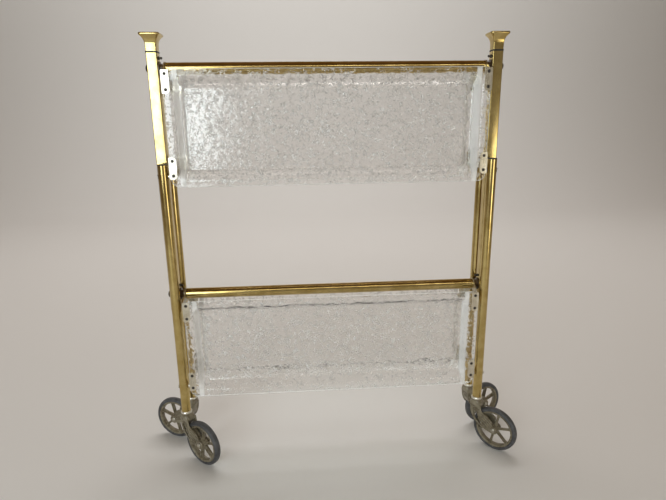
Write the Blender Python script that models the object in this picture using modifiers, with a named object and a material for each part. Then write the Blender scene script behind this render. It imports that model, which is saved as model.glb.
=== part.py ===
"""Folding two-tier serving trolley, modelled standing folded.

X runs along the trolley, Y across it, Z up.  The ground is z = 0.  The central frame (two posts and
two cross tubes) is the fixed body.  Four trays hinge on the cross tubes, a pair of legs is pinned
to the outer edge of the front trays and another to the rear trays, and each leg has a caster.
Everything is in metres.
"""
import math

import bmesh
import bpy
from mathutils import Matrix, Vector

# ---------------------------------------------------------------- driving dimensions
GAP = 0.0003                 # clearance between touching pieces

UPPER_T = 0.7963             # height of the upper cross tube, the upper trays' hinge
LOWER_T = 0.3605             # height of the lower cross tube
PIVOT_DROP = 0.194           # from a tray's hinge down to its leg pivot, folded
LEG_Y = 0.0284               # leg axis from the middle plane, folded
LEG_PIVOT = UPPER_T - PIVOT_DROP
MIDDLE_Y = 0.01508           # the frame's middle plane; the origin is the middle of the footprint

POST_X = 0.3204
POST_SIDE = 0.020
POST_WALL = 0.0015
POST_BOTTOM = 0.3255
POST_TOP = 0.8235
KNOB_TOP = 0.8565
KNOB_HALF = 0.0185
KNOB_GAP = 0.0013            # shadow gap under the knob
POST_EDGE = 0.0012
CAP_THICK = 0.0017

LEG_X = 0.3145
LEG_R = 0.0095
LEG_BORE_R = 0.0080
LEG_BOTTOM = 0.1085
LEG_TOP = 0.6235
COLLAR_R = 0.0115
COLLAR_THICK = 0.0042

TUBE_HALF = 0.2980
TUBE_R = 0.0107
TUBE_BORE_R = 0.0092
PLUG_LENGTH = 0.028
BUSH_R = 0.0125

TRAY_HALF_LENGTH = 0.2978
TRAY_TOP = -0.0045           # tray edges, measured down from the hinge axis
TRAY_BOTTOM = -0.213
TRAY_FACE = 0.0413           # flange front, outward from the middle plane
TRAY_DEPTH = 0.0187
TRAY_THICK = 0.003
TRAY_FLANGE = 0.016
TRAY_SLOPE = 0.011
TRAY_CORNER = 0.015

PLATE_THICK = 0.0014
PLATE_INNER_X = 0.2857
PLATE_R = 0.0070
SCREW_PITCH = 0.027
HINGE_SCREW_DROP = 0.0125    # first screw below the hinge axis
LEG_SCREW_RISE = 0.002       # first screw above the leg pivot
EAR_X = {-1: 0.2990, 1: 0.3008}   # middle of the ear plate on front and rear trays
HINGE_LOBE_R = 0.0115
LEG_LOBE_R = 0.0065

BOLT_R = 0.003
BOLT_HOLE_R = 0.0034
BOLT_HEAD_R = 0.0072
BOLT_HEAD_THICK = 0.0042
RIVET_R = 0.0025
RIVET_HOLE_R = 0.0029
RIVET_HEAD_R = 0.0045
SCREW_HOLE_R = 0.0019

WHEEL_R = 0.048
TYRE_HALF = 0.007
RIM_R = 0.0405
RIM_HALF = 0.0060
HUB_R = 0.0088
HUB_HALF = 0.0080
TRAIL = 0.046
FORK_HALF = 0.0118
SLOT_HALF = 0.0086
SLOT_R = WHEEL_R + 0.0018
CROWN_TOP = LEG_BOTTOM - COLLAR_THICK - GAP
STEM_R = 0.0042
AXLE_R = 0.0028

SIDES = (("left", -1), ("right", 1))
ENDS = (("front", -1), ("rear", 1))
TIERS = (("upper", UPPER_T), ("lower", LOWER_T))
TRAIL_ANGLE = {("front", "left"): -39.0, ("front", "right"): -46.0,
               ("rear", "left"): 158.0, ("rear", "right"): 22.0}


# ---------------------------------------------------------------- scene, materials, helpers
def clear_scene():
    for obj in list(bpy.data.objects):
        bpy.data.objects.remove(obj, do_unlink=True)
    for collection in list(bpy.data.collections):
        bpy.data.collections.remove(collection)


def new_collection(name):
    collection = bpy.data.collections.new(name)
    bpy.context.scene.collection.children.link(collection)
    return collection


def principled(name, color, roughness, metallic=0.0, alpha=1.0):
    material = bpy.data.materials.new(name)
    material.use_nodes = True
    shader = material.node_tree.nodes["Principled BSDF"]
    shader.inputs["Base Color"].default_value = (*color, 1.0)
    shader.inputs["Roughness"].default_value = roughness
    shader.inputs["Metallic"].default_value = metallic
    shader.inputs["Alpha"].default_value = alpha
    return material


FINISH = {
    "gold": ((0.56, 0.40, 0.17), 0.28, 1.0),
    "silver": ((0.78, 0.76, 0.70), 0.35, 1.0),
    "chrome": ((0.85, 0.85, 0.84), 0.10, 1.0),
    "steel": ((0.45, 0.44, 0.42), 0.35, 1.0),
    "dark_screw": ((0.05, 0.045, 0.04), 0.45, 0.8),
    "black_plastic": ((0.03, 0.03, 0.03), 0.55),
    "champagne": ((0.36, 0.31, 0.22), 0.45),
    "acrylic": ((0.80, 0.82, 0.82), 0.12, 0.0, 0.45),
    "rubber": ((0.10, 0.10, 0.105), 0.65),
}


def empty_at(name, location, parent=None, turn=0.0):
    """An empty that stands for a body, on its joint's axis."""
    empty = bpy.data.objects.new(name, None)
    empty.empty_display_size = 0.02
    empty.location = location
    empty.rotation_euler = (0.0, 0.0, turn)
    empty.parent = parent
    PARTS.objects.link(empty)
    return empty


def scratch_object(mesh):
    obj = bpy.data.objects.new("scratch", mesh)
    CUTTERS.objects.link(obj)
    return obj


def applied(obj):
    """Replace a scratch object with its evaluated mesh and return that mesh."""
    bpy.context.view_layer.update()
    depsgraph = bpy.context.evaluated_depsgraph_get()
    mesh = bpy.data.meshes.new_from_object(obj.evaluated_get(depsgraph))
    mesh.transform(obj.matrix_world)
    bpy.data.objects.remove(obj, do_unlink=True)
    return mesh


def turned(profile, steps, matrix=Matrix(), ring=False):
    """Turn a profile of (radius, height) points, listed top to bottom on its outer side.

    A ring profile is a closed loop, and otherwise the profile starts and ends on the axis.
    """
    mesh = bpy.data.meshes.new("profile")
    points = [(radius, 0.0, height) for radius, height in profile]
    edges = [(i, i + 1) for i in range(len(points) - 1)]
    if ring:
        edges.append((len(points) - 1, 0))
    mesh.from_pydata(points, edges, [])
    obj = scratch_object(mesh)
    screw = obj.modifiers.new("turn", "SCREW")
    screw.steps = steps
    screw.render_steps = steps
    screw.use_merge_vertices = True
    screw.merge_threshold = 0.00001
    obj.matrix_world = matrix
    return applied(obj)


def along_x(x, y, z, direction=1):
    """A turned piece's height axis laid along X from a starting point."""
    return Matrix.Translation((x, y, z)) @ Matrix.Rotation(direction * math.pi / 2, 4, "Y")


def merged(meshes):
    """One mesh that holds the given meshes as separate solids."""
    bm = bmesh.new()
    for mesh in meshes:
        bm.from_mesh(mesh)
        bpy.data.meshes.remove(mesh)
    mesh = bpy.data.meshes.new("merged")
    bm.to_mesh(mesh)
    bm.free()
    return mesh


def block(low, high):
    """A box between two corners."""
    bm = bmesh.new()
    size = Vector(high) - Vector(low)
    middle = (Vector(high) + Vector(low)) / 2
    matrix = Matrix.Translation(middle) @ Matrix.Diagonal((*size, 1.0))
    bmesh.ops.create_cube(bm, size=1.0, matrix=matrix)
    mesh = bpy.data.meshes.new("block")
    bm.to_mesh(mesh)
    bm.free()
    return mesh


def rod(radius, start, end, steps):
    """A plain cylinder between two points."""
    start = Vector(start)
    end = Vector(end)
    axis = end - start
    turn = axis.to_track_quat("Z", "Y").to_matrix().to_4x4()
    bm = bmesh.new()
    bmesh.ops.create_cone(bm, cap_ends=True, segments=steps, radius1=radius, radius2=radius,
                          depth=axis.length, matrix=Matrix.Translation((start + end) / 2) @ turn)
    mesh = bpy.data.meshes.new("rod")
    bm.to_mesh(mesh)
    bm.free()
    return mesh


def arc(center, radius, start, end, count):
    """Points on an arc, in degrees, both ends included."""
    angles = [math.radians(start + (end - start) * i / (count - 1)) for i in range(count)]
    return [(center[0] + radius * math.cos(a), center[1] + radius * math.sin(a)) for a in angles]


def extruded(outline, half):
    """A flat outline in X and Z, extruded by half its thickness to both sides of the plane."""
    curve = bpy.data.curves.new("outline", "CURVE")
    curve.dimensions = "2D"
    curve.fill_mode = "BOTH"
    curve.extrude = half
    spline = curve.splines.new("POLY")
    spline.points.add(len(outline) - 1)
    for point, (x, z) in zip(spline.points, outline):
        point.co = (x, z, 0.0, 1.0)
    spline.use_cyclic_u = True
    obj = scratch_object(curve)
    obj.rotation_euler = (math.pi / 2, 0.0, 0.0)
    mesh = applied(obj)
    bpy.data.curves.remove(curve)
    bm = bmesh.new()
    bm.from_mesh(mesh)
    bmesh.ops.remove_doubles(bm, verts=bm.verts, dist=0.00001)
    bm.to_mesh(mesh)
    bm.free()
    return mesh


def part(name, mesh, finish, body, smooth=40.0):
    """Make a node from a mesh in its body's frame."""
    mesh.name = name
    mesh.materials.clear()
    mesh.materials.append(principled(name, *FINISH[finish]))
    mesh.shade_smooth()
    mesh.set_sharp_from_angle(angle=math.radians(smooth))
    obj = bpy.data.objects.new(name, mesh)
    obj.parent = body
    PARTS.objects.link(obj)
    return obj


def boolean(obj, meshes, operation="DIFFERENCE"):
    """Cut an object with hidden cutters, or join hidden pieces to it."""
    cutter = bpy.data.objects.new(obj.name + "_" + operation.lower(), merged(meshes))
    cutter.parent = obj.parent
    cutter.hide_render = True
    cutter.display_type = "WIRE"
    CUTTERS.objects.link(cutter)
    modifier = obj.modifiers.new(operation.lower(), "BOOLEAN")
    modifier.operation = operation
    modifier.solver = "EXACT"
    modifier.object = cutter
    return obj


def bevel(obj, width, segments=1, angle=40.0):
    modifier = obj.modifiers.new("bevel", "BEVEL")
    modifier.width = width
    modifier.segments = segments
    modifier.limit_method = "ANGLE"
    modifier.angle_limit = math.radians(angle)
    return obj


# ---------------------------------------------------------------- central frame
def square_turned(outline, x):
    """A square piece on a post's axis: four turning steps, with half widths as the outline."""
    profile = [(half * math.sqrt(2.0), z) for half, z in outline]
    matrix = Matrix.Translation((x, 0.0, 0.0)) @ Matrix.Rotation(math.pi / 4, 4, "Z")
    return turned(profile, 4, matrix)


def make_post(side_name, side, root):
    half = POST_SIDE / 2
    x = side * POST_X
    bottom = POST_BOTTOM + CAP_THICK + GAP
    outside = block((x - half, -half, bottom), (x + half, half, POST_TOP))
    obj = part(side_name + "_post", outside, "gold", root)
    bevel(obj, POST_EDGE)
    bore_half = half - POST_WALL
    bore = block((x - bore_half, -bore_half, bottom - 0.01), (x + bore_half, bore_half, POST_TOP + 0.01))
    holes = [rod(BOLT_HOLE_R, (x - half - 0.01, 0.0, z), (x + half + 0.01, 0.0, z), 8)
             for _, z in TIERS]
    boolean(obj, [bore])
    boolean(obj, holes)


def make_post_bottom_cap(side_name, side, root):
    """A flange as wide as the post with a square plug inside it."""
    plug = POST_SIDE / 2 - POST_WALL - GAP
    flange = POST_SIDE / 2 - POST_EDGE / 4
    shoulder = POST_BOTTOM + CAP_THICK
    outline = [(0.0, shoulder + 0.012), (plug, shoulder + 0.012), (plug, shoulder),
               (flange, shoulder), (flange, POST_BOTTOM), (0.0, POST_BOTTOM)]
    mesh = square_turned(outline, side * POST_X)
    part(side_name + "_post_bottom_cap", mesh, "black_plastic", root, 30.0)


def make_knob(side_name, side, root):
    """A square trumpet with a spigot that plugs into the post."""
    low = POST_TOP + KNOB_GAP
    spigot = POST_SIDE / 2 - POST_WALL - GAP
    outline = [(0.0, KNOB_TOP), (KNOB_HALF - 0.0020, KNOB_TOP), (KNOB_HALF, KNOB_TOP - 0.0012),
               (KNOB_HALF - 0.0008, KNOB_TOP - 0.0036), (0.0141, KNOB_TOP - 0.0075),
               (0.0118, KNOB_TOP - 0.0125), (0.0102, KNOB_TOP - 0.0190), (0.0098, low),
               (spigot, low), (spigot, POST_TOP - 0.018), (0.0, POST_TOP - 0.018)]
    part(side_name + "_knob", square_turned(outline, side * POST_X), "gold", root, 30.0)


def make_cross_tubes(root):
    for tier, z in TIERS:
        ring = [(TUBE_R, 2 * TUBE_HALF), (TUBE_R, 0.0), (TUBE_BORE_R, 0.0),
                (TUBE_BORE_R, 2 * TUBE_HALF)]
        mesh = turned(ring, 20, along_x(-TUBE_HALF, 0.0, z), ring=True)
        part(tier + "_cross_tube", mesh, "gold", root)


def make_hinge_pin(name, side, z, root):
    """A bolt through the post, its black bush, and the plug that it draws into the tube."""
    plug_r = TUBE_BORE_R - GAP
    plug_in = TUBE_HALF - PLUG_LENGTH
    bush_in = EAR_X[1] + PLATE_THICK / 2 + GAP
    bush_out = POST_X - POST_SIDE / 2 - GAP
    head = POST_X + POST_SIDE / 2 + GAP
    crown = head + BOLT_HEAD_THICK
    profile = [(0.0, crown), (BOLT_HEAD_R - 0.0026, crown - 0.0004), (BOLT_HEAD_R - 0.0006, crown - 0.0017),
               (BOLT_HEAD_R, head + 0.0012), (BOLT_HEAD_R, head), (BOLT_R, head), (BOLT_R, bush_out),
               (BUSH_R, bush_out), (BUSH_R, bush_out - 0.0021), (BUSH_R - 0.0045, bush_out - 0.0026),
               (BUSH_R - 0.0045, bush_in), (BOLT_R, bush_in), (BOLT_R, TUBE_HALF),
               (plug_r, TUBE_HALF), (plug_r, plug_in), (0.0, plug_in)]
    mesh = turned(profile, 12, along_x(0.0, 0.0, z, side))
    part(name, mesh, "dark_screw", root)


# ---------------------------------------------------------------- trays
def rounded_ring(bm, half_x, top, bottom, radius, y):
    """A loop of vertices round a rectangle with round corners, in the plane y."""
    corners = (((half_x - radius, top - radius), 90.0, 0.0),
               ((half_x - radius, bottom + radius), 0.0, -90.0),
               ((-half_x + radius, bottom + radius), 270.0, 180.0),
               ((-half_x + radius, top - radius), 180.0, 90.0))
    points = []
    for center, start, end in corners:
        points += arc(center, radius, start, end, 4)
    verts = [bm.verts.new((x, y, z)) for x, z in points]
    for i, vert in enumerate(verts):
        bm.edges.new((vert, verts[(i + 1) % len(verts)]))
    return verts


def loop_edges(verts):
    return [edge for edge in {e for v in verts for e in v.link_edges}
            if edge.verts[0] in verts and edge.verts[1] in verts]


def make_tray(name, end, body):
    """A pressed sheet: flat flange, sloping wall and flat floor, open outward."""
    bm = bmesh.new()
    face = -TRAY_FACE
    inset = TRAY_FLANGE + TRAY_SLOPE
    rings = [
        rounded_ring(bm, TRAY_HALF_LENGTH, TRAY_TOP, TRAY_BOTTOM, TRAY_CORNER, face),
        rounded_ring(bm, TRAY_HALF_LENGTH - TRAY_FLANGE, TRAY_TOP - TRAY_FLANGE,
                     TRAY_BOTTOM + TRAY_FLANGE, TRAY_CORNER, face),
        rounded_ring(bm, TRAY_HALF_LENGTH - inset, TRAY_TOP - inset,
                     TRAY_BOTTOM + inset, TRAY_CORNER * 0.7, face + TRAY_DEPTH),
    ]
    for outer, inner in zip(rings, rings[1:]):
        bmesh.ops.bridge_loops(bm, edges=loop_edges(outer) + loop_edges(inner))
    bm.faces.new(rings[-1])
    bmesh.ops.recalc_face_normals(bm, faces=bm.faces)
    floor = max(bm.faces, key=lambda f: f.calc_area())
    if floor.normal.y > 0:
        bmesh.ops.reverse_faces(bm, faces=bm.faces)
    mesh = bpy.data.meshes.new(name)
    bm.to_mesh(mesh)
    bm.free()
    obj = part(name, mesh, "acrylic", body, 30.0)
    solid = obj.modifiers.new("thickness", "SOLIDIFY")
    solid.thickness = TRAY_THICK
    solid.offset = -1.0
    solid.use_even_offset = True
    if end > 0:
        obj.rotation_euler = (0.0, 0.0, math.pi)
    cutter_y = (face - 0.005, face + 0.008)
    holes = [rod(SCREW_HOLE_R, (x, cutter_y[0], z), (x, cutter_y[1], z), 6)
             for x, z in screw_places()]
    boolean(obj, [spun(mesh, end) for mesh in holes])


def screw_places():
    """The eight screws of a tray, as X and the height below the hinge."""
    x = PLATE_INNER_X + PLATE_R
    heights = (-HINGE_SCREW_DROP, -HINGE_SCREW_DROP - SCREW_PITCH,
               -PIVOT_DROP + LEG_SCREW_RISE, -PIVOT_DROP + LEG_SCREW_RISE + SCREW_PITCH)
    return [(side * x, z) for side in (-1, 1) for z in heights]


def spun(mesh, end):
    """Turn a mesh made for the front half round to the rear half."""
    if end > 0:
        mesh.transform(Matrix.Rotation(math.pi, 4, "Z"))
    return mesh


def make_bracket(name, side, end, body, bottom, pivot, lobe_r, lobe_angles, hole_r):
    """A plate on the flange with an ear folded back to a pivot, at one corner of a tray.

    It is drawn for the front trays, and half a turn about the hinge's middle makes the rear ones.
    """
    hand = -side * end
    half = PLATE_THICK / 2
    top = bottom + SCREW_PITCH + 2 * PLATE_R
    face = -TRAY_FACE - GAP - half
    fold_x = EAR_X[end] + half
    middle = PLATE_INNER_X + PLATE_R
    outline = arc((middle, bottom + PLATE_R), PLATE_R, 270.0, 180.0, 4)
    outline += arc((middle, top - PLATE_R), PLATE_R, 180.0, 90.0, 4)
    outline += [(fold_x - 0.0015, top), (fold_x, top - 0.0015),
                (fold_x, bottom + 0.0015), (fold_x - 0.0015, bottom)]
    plate = extruded([(hand * x, z) for x, z in outline], half)
    plate.transform(Matrix.Translation((0.0, face, 0.0)))

    ear_outline = [(face, top - PLATE_R)] + arc(pivot, lobe_r, *lobe_angles, 8)
    ear_outline += [(face, bottom + PLATE_R)]
    ear = extruded(ear_outline, half)
    ear.transform(Matrix.Translation((hand * EAR_X[end], 0.0, 0.0)) @ Matrix.Rotation(math.pi / 2, 4, "Z"))

    obj = part(name, spun(plate, end), "silver", body, 30.0)
    boolean(obj, [spun(ear, end)], "UNION")
    y = pivot[0] * -end
    holes = [rod(hole_r, (side * 0.296, y, pivot[1]), (side * 0.308, y, pivot[1]), 8)]
    for x, z in screw_places():
        if x * hand > 0 and bottom < z < top:
            cutter = rod(SCREW_HOLE_R, (x, -TRAY_FACE - 0.006, z), (x, -TRAY_FACE + 0.003, z), 6)
            holes.append(spun(cutter, end))
    boolean(obj, holes)


def make_tray_assembly(tier, end_name, end, body):
    tray = end_name + "_" + tier + "_tray"
    make_tray(tray, end, body)
    for side_name, side in SIDES:
        name = end_name + "_" + tier + "_" + side_name
        make_bracket(name + "_hinge_bracket", side, end, body,
                     -HINGE_SCREW_DROP - SCREW_PITCH - PLATE_R, (0.0, 0.0),
                     HINGE_LOBE_R, (125.0, -105.0), BOLT_HOLE_R)
        make_bracket(name + "_leg_bracket", side, end, body,
                     -PIVOT_DROP + LEG_SCREW_RISE - PLATE_R, (-LEG_Y, -PIVOT_DROP),
                     LEG_LOBE_R, (55.0, -125.0), RIVET_HOLE_R)


# ---------------------------------------------------------------- legs
def make_leg(name, x, body):
    """A round tube with a domed cap and, at the foot, the collared socket of its caster."""
    top = LEG_TOP - LEG_PIVOT
    bottom = LEG_BOTTOM - LEG_PIVOT
    socket_r = STEM_R + GAP
    profile = [(0.0, top + 0.0024), (0.0055, top + 0.0021), (LEG_R - 0.0002, top + 0.0010),
               (LEG_R, top), (LEG_R, bottom), (COLLAR_R - 0.0004, bottom),
               (COLLAR_R, bottom - 0.0018), (COLLAR_R - 0.0012, bottom - COLLAR_THICK),
               (socket_r, bottom - COLLAR_THICK), (socket_r, bottom + 0.022),
               (LEG_BORE_R, bottom + 0.022), (LEG_BORE_R, top - 0.008), (0.0, top - 0.008)]
    mesh = turned(profile, 16, Matrix.Translation((x, 0.0, 0.0)))
    obj = part(name, mesh, "gold", body)
    levels = [z - PIVOT_DROP - LEG_PIVOT for _, z in TIERS]
    boolean(obj, [rod(RIVET_HOLE_R, (x - 0.02, 0.0, z), (x + 0.02, 0.0, z), 8) for z in levels])


def make_leg_set(end_name, end, body):
    for side_name, side in SIDES:
        name = end_name + "_" + side_name
        make_leg(name + "_leg", side * LEG_X, body)
        for tier, z in TIERS:
            matrix = along_x(0.0, 0.0, z - PIVOT_DROP - LEG_PIVOT, side)
            mesh = turned(rivet_profile(EAR_X[end]), 8, matrix)
            part(name + "_" + tier + "_rivet", mesh, "chrome", body)


def rivet_profile(ear_x):
    """Heads inside the ear and outside the leg, with a spacing collar between ear and leg."""
    ear_half = PLATE_THICK / 2 + GAP
    outside = LEG_X + LEG_R + GAP
    inside = LEG_X - LEG_R - GAP
    return [(0.0, outside + 0.0022), (0.0032, outside + 0.0018), (RIVET_HEAD_R, outside),
            (RIVET_R, outside), (RIVET_R, inside), (0.0040, inside),
            (0.0040, ear_x + ear_half), (RIVET_R, ear_x + ear_half), (RIVET_R, ear_x - ear_half),
            (RIVET_HEAD_R, ear_x - ear_half), (0.0032, ear_x - ear_half - 0.0018),
            (0.0, ear_x - ear_half - 0.0022)]


# ---------------------------------------------------------------- casters
def make_caster(name, swivel, wheel):
    """A swivel caster: the swivel frame has its X along the trail, the wheel frame is the axle.

    The fork carries its steel stem, which turns in the leg's socket.
    """
    boss = 0.0095
    outline = [(-0.0115, CROWN_TOP - 0.001), (-0.0105, CROWN_TOP), (0.0115, CROWN_TOP),
               (0.0150, 0.0985), (0.0160, 0.0860), (0.0195, 0.0800), (0.0300, 0.0745), (0.0400, 0.0660)]
    outline += arc((TRAIL, WHEEL_R), boss, 65.0, -110.0, 8)
    outline += [(0.0290, 0.0412), (0.0160, 0.0462), (0.0060, 0.0530), (-0.0015, 0.0610),
                (-0.0060, 0.0700), (-0.0085, 0.0800), (-0.0115, 0.0970)]
    fork = part(name + "_fork", extruded(outline, FORK_HALF), "champagne", swivel, 30.0)
    slot = rod(SLOT_R, (TRAIL, -SLOT_HALF, WHEEL_R), (TRAIL, SLOT_HALF, WHEEL_R), 28)
    bore = rod(AXLE_R + GAP, (TRAIL, -0.02, WHEEL_R), (TRAIL, 0.02, WHEEL_R), 8)
    stem = [(0.0, LEG_BOTTOM + 0.020), (STEM_R - 0.0012, LEG_BOTTOM + 0.020),
            (STEM_R, LEG_BOTTOM + 0.0185), (STEM_R, CROWN_TOP - 0.008), (0.0, CROWN_TOP - 0.008)]
    boolean(fork, [slot])
    boolean(fork, [bore])
    boolean(fork, [turned(stem, 10)], "UNION")

    head = FORK_HALF + GAP
    axle = [(0.0, head + 0.0018), (0.0042, head + 0.0012), (0.0048, head), (AXLE_R, head),
            (AXLE_R, -head), (0.0048, -head), (0.0042, -head - 0.0012), (0.0, -head - 0.0018)]
    place = Matrix.Translation((TRAIL, 0.0, WHEEL_R)) @ Matrix.Rotation(math.pi / 2, 4, "X")
    part(name + "_axle", turned(axle, 8, place), "steel", swivel)

    spin = Matrix.Rotation(math.pi / 2, 4, "X")
    band = RIM_R - 0.0045
    ring = [(RIM_R, RIM_HALF), (RIM_R, -RIM_HALF), (band, -RIM_HALF), (band - 0.0010, 0.0),
            (band, RIM_HALF)]
    rim = part(name + "_rim", turned(ring, 24, spin, ring=True), "champagne", wheel, 30.0)
    spokes = []
    for i in range(6):
        mesh = block((-0.0028, -0.0028, HUB_R - 0.002), (0.0028, 0.0028, band + 0.0010))
        mesh.transform(Matrix.Rotation(math.radians(60.0 * i + 12.0), 4, "Y"))
        spokes.append(mesh)
    boolean(rim, spokes, "UNION")
    hub = [(HUB_R, HUB_HALF), (HUB_R, -HUB_HALF), (AXLE_R + GAP, -HUB_HALF), (AXLE_R + GAP, HUB_HALF)]
    boolean(rim, [turned(hub, 12, spin, ring=True)], "UNION")

    inner = RIM_R + GAP
    shoulder = WHEEL_R - 0.0018
    flank = WHEEL_R - 0.0048
    tyre = [(inner, 0.0058), (flank, TYRE_HALF), (shoulder, 0.0054), (WHEEL_R, 0.0020),
            (WHEEL_R, -0.0020), (shoulder, -0.0054), (flank, -TYRE_HALF), (inner, -0.0058)]
    part(name + "_tyre", turned(tyre, 24, spin, ring=True), "rubber", wheel)


# ---------------------------------------------------------------- assembly
def build():
    trolley = empty_at("trolley", (0.0, MIDDLE_Y, 0.0))
    root = empty_at("central_frame", (0.0, 0.0, 0.0), trolley)
    for side_name, side in SIDES:
        make_post(side_name, side, root)
        make_knob(side_name, side, root)
        make_post_bottom_cap(side_name, side, root)
        for tier, z in TIERS:
            make_hinge_pin(tier + "_" + side_name + "_hinge_pin", side, z, root)
    make_cross_tubes(root)

    for end_name, end in ENDS:
        for tier, z in TIERS:
            body = empty_at(end_name + "_" + tier + "_tray_hinge", (0.0, 0.0, z), trolley)
            make_tray_assembly(tier, end_name, end, body)
        legs = empty_at(end_name + "_legs", (0.0, end * LEG_Y, LEG_PIVOT), trolley)
        make_leg_set(end_name, end, legs)
        for side_name, side in SIDES:
            name = end_name + "_" + side_name
            turn = math.radians(TRAIL_ANGLE[(end_name, side_name)])
            foot = (side * LEG_X, end * LEG_Y, 0.0)
            swivel = empty_at(name + "_swivel", foot, trolley, turn)
            wheel = empty_at(name + "_wheel", (TRAIL, 0.0, WHEEL_R), swivel)
            make_caster(name + "_caster", swivel, wheel)


clear_scene()
PARTS = new_collection("folding_serving_trolley")
CUTTERS = new_collection("cutters")
build()
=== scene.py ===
"""Looks for the folding serving trolley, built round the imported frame.

Everything is in metres in the row frame: X runs along the trolley, Y across it and Z up.  Places come
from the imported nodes' boxes, and each function below makes one kind of piece.
"""

import math

import bmesh
import bpy
import numpy as np
from mathutils import Matrix, Vector, noise


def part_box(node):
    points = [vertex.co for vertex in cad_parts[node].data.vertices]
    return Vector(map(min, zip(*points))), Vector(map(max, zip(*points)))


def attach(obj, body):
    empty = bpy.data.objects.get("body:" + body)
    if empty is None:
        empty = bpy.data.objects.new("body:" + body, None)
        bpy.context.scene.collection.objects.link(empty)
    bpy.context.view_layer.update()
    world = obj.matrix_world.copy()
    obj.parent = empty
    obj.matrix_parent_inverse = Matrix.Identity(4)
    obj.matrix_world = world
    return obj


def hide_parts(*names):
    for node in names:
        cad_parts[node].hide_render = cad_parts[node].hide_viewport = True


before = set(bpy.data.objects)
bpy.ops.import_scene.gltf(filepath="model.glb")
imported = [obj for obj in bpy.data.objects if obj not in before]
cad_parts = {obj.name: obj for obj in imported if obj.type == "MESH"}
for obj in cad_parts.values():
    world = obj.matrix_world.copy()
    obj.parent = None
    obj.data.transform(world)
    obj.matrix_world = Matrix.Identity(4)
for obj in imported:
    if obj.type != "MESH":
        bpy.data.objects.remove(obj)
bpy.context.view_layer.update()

# noise_vector takes its seed from the clock unless one is set, and the crinkle would differ in each run
NOISE_SEED = 1
noise.seed_set(NOISE_SEED)

SIDES = (("left", -1), ("right", 1))
ENDS = (("front", -1), ("rear", 1))
TIERS = ("upper", "lower")


def centre(node):
    low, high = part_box(node)
    return (low + high) / 2


MIDDLE_Y = centre("upper_cross_tube").y
HINGE_Z = {tier: centre(tier + "_cross_tube").z for tier in TIERS}
PIVOT_Z = {tier: centre("front_left_" + tier + "_rivet").z for tier in TIERS}
SHEET_THICK = 0.003
PLATE_THICK = 0.0014
LEG_R = 0.0095
BUSH_INNER = 0.3018
TUBE_STEPS = 64
TUBE_WALL = 0.0015
TUBE_EDGE = 0.0004           # rounding at the cut ends of posts and cross tubes
CLEARANCE = 0.0002           # between pieces that sit on each other
KNOB_GAP = 0.0013            # the gasket's room between a post and its knob
STUD_RISE = 0.018            # locating screw above the hinge
WALL_X = 0.2763              # middle of a tray's sloping end walls


# ---------------------------------------------------------------- meshes
def finished_mesh(name, verts, faces):
    """A mesh with its doubled points merged and its normals facing out."""
    mesh = bpy.data.meshes.new(name)
    mesh.from_pydata(verts, [], faces)
    bm = bmesh.new()
    bm.from_mesh(mesh)
    bmesh.ops.remove_doubles(bm, verts=bm.verts, dist=0.000001)
    bmesh.ops.recalc_face_normals(bm, faces=bm.faces)
    bm.to_mesh(mesh)
    bm.free()
    return mesh


def lofted(rings, closed=False):
    """A skin through rings of equally many points, capped unless the rings close on themselves."""
    count = len(rings[0])
    verts = [point for ring in rings for point in ring]
    pairs = [(i, i + 1) for i in range(len(rings) - 1)]
    faces = []
    if closed:
        pairs.append((len(rings) - 1, 0))
    else:
        last = (len(rings) - 1) * count
        faces.append(tuple(range(count)))
        faces.append(tuple(last + i for i in range(count)))
    for a, b in pairs:
        for i in range(count):
            j = (i + 1) % count
            faces.append((a * count + i, a * count + j, b * count + j, b * count + i))
    return finished_mesh("lofted", verts, faces)


def turned(profile, steps, matrix=Matrix(), closed=False):
    """Turn a profile of (radius, height) points about Z.  An open profile ends on the axis."""
    angles = [2 * math.pi * i / steps for i in range(steps)]
    rings = [[(r * math.cos(a), r * math.sin(a), h) for a in angles] for r, h in profile]
    mesh = lofted(rings, closed)
    mesh.transform(matrix)
    return mesh


def along_x(x, y, z, direction=1):
    return Matrix.Translation((x, y, z)) @ Matrix.Rotation(direction * math.pi / 2, 4, "Y")


def rounded_rectangle(half_x, half_y, radius, steps=6):
    points = []
    for sx, sy, start in ((1, 1, 0), (-1, 1, 90), (-1, -1, 180), (1, -1, 270)):
        x = sx * (half_x - radius)
        y = sy * (half_y - radius)
        for i in range(steps + 1):
            a = math.radians(start + 90 * i / steps)
            points.append((x + radius * math.cos(a), y + radius * math.sin(a)))
    return points


def arc(center, radius, start, end, count):
    """Points on an arc, in degrees, both ends included."""
    angles = [math.radians(start + (end - start) * i / (count - 1)) for i in range(count)]
    return [(center[0] + radius * math.cos(a), center[1] + radius * math.sin(a)) for a in angles]


def smooth_path(points, count):
    """Catmull-Rom points through the given points."""
    points = [Vector(p) for p in points]
    padded = [points[0] * 2 - points[1], *points, points[-1] * 2 - points[-2]]
    path = []
    for i in range(len(points) - 1):
        a, b, c, d = padded[i:i + 4]
        for j in range(count):
            t = j / count
            path.append(0.5 * (2 * b + (c - a) * t + (2 * a - 5 * b + 4 * c - d) * t ** 2
                               + (3 * b - a - 3 * c + d) * t ** 3))
    return path + [points[-1]]


def slab(outline, low, high):
    """A flat outline in X and Z, from one Y to another."""
    return lofted([[(x, low, z) for x, z in outline], [(x, high, z) for x, z in outline]])


def joined(meshes):
    """One mesh that holds several."""
    bm = bmesh.new()
    for mesh in meshes:
        bm.from_mesh(mesh)
        bpy.data.meshes.remove(mesh)
    mesh = bpy.data.meshes.new("joined")
    bm.to_mesh(mesh)
    bm.free()
    return mesh


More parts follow.
